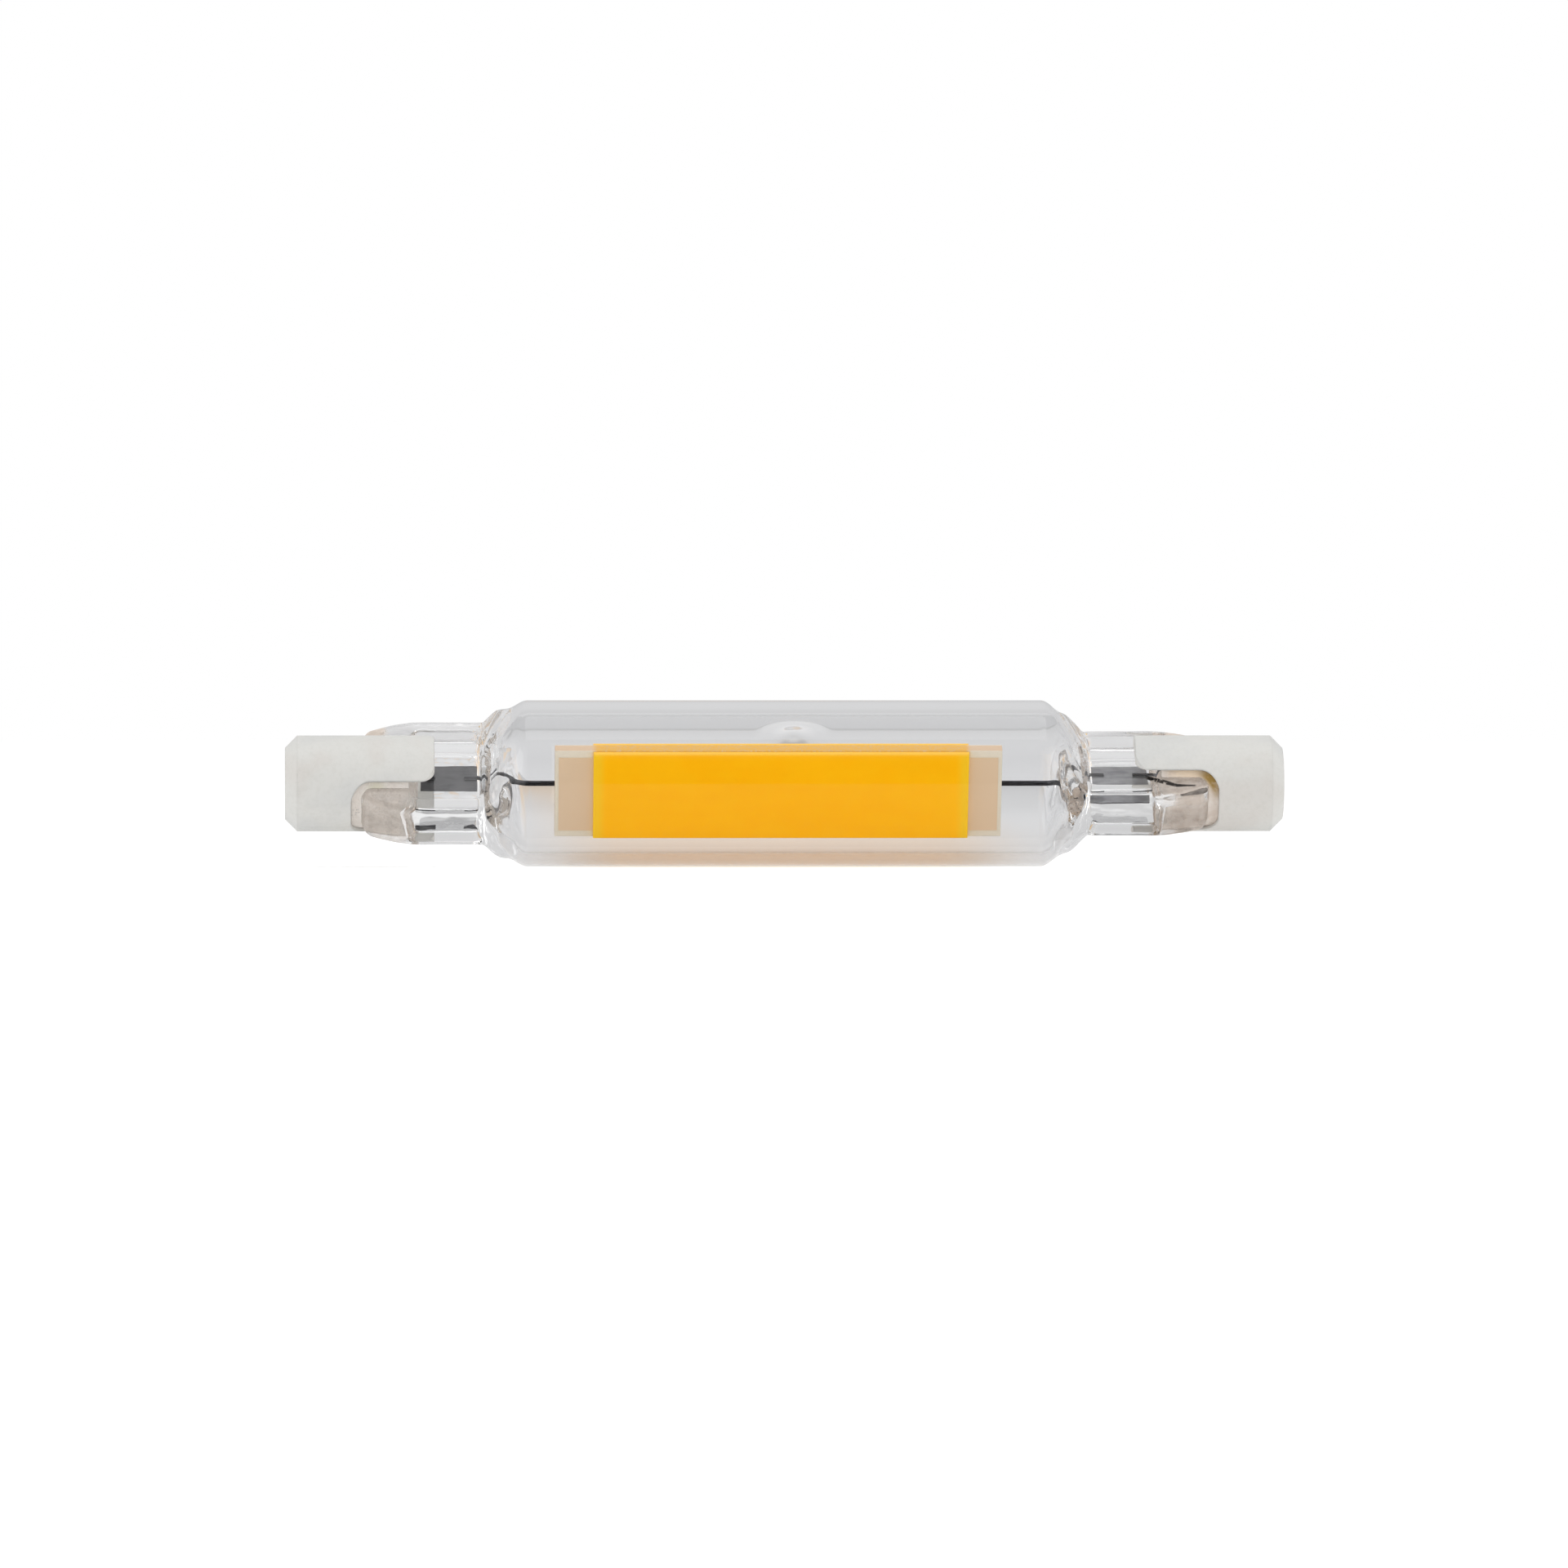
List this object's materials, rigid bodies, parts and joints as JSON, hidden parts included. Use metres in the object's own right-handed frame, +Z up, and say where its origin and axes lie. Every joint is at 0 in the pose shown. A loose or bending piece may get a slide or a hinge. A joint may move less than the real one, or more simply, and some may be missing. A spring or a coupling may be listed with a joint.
{
  "type": "linear led bulb",
  "caption": "Double-ended linear lamp: a coated light strip in a clear glass tube, pressed flat and cemented into slotted ceramic caps with recessed contacts.",
  "frame": {"origin": "middle of the lamp on its own axis", "axes": "+X along the lamp, towards the right-hand cap; +Z up; the front coat of the light strip faces -Y and slightly down"},
  "size_m": [0.078, 0.013, 0.013],
  "materials": {
    "clear_glass": "clear, fire-polished",
    "cap_ceramic": "matt, off-white",
    "contact_metal": "plain, nickel-plated",
    "cement": "rough, beige",
    "foil_metal": "dull grey foil",
    "lead_wire": "dark oxidised wire",
    "board_ceramic": "unglazed, pale",
    "pad_metal": "matt, beige print",
    "solder": "bright",
    "chips": "smooth",
    "dice": "smooth",
    "yellow_coat": "smooth cast silicone"
  },
  "bodies": {
    "root": {"glass_envelope": "clear_glass", "ceramic_cap_left": "cap_ceramic", "ceramic_cap_right": "cap_ceramic", "contact_left": "contact_metal", "contact_right": "contact_metal", "cement_left": "cement", "cement_right": "cement", "foil_left": "foil_metal", "foil_right": "foil_metal", "outer_lead_left": "lead_wire", "outer_lead_right": "lead_wire", "inner_lead_left": "lead_wire", "inner_lead_right": "lead_wire", "led_board": "board_ceramic", "front_pad_left": "pad_metal", "front_pad_right": "pad_metal", "back_pad_left": "pad_metal", "back_pad_right": "pad_metal", "solder_left": "solder", "solder_right": "solder", "front_chips": "chips", "back_chips": "chips", "driver_dice": "dice", "front_coat": "yellow_coat", "back_coat": "yellow_coat"}
  },
  "joints": []
}
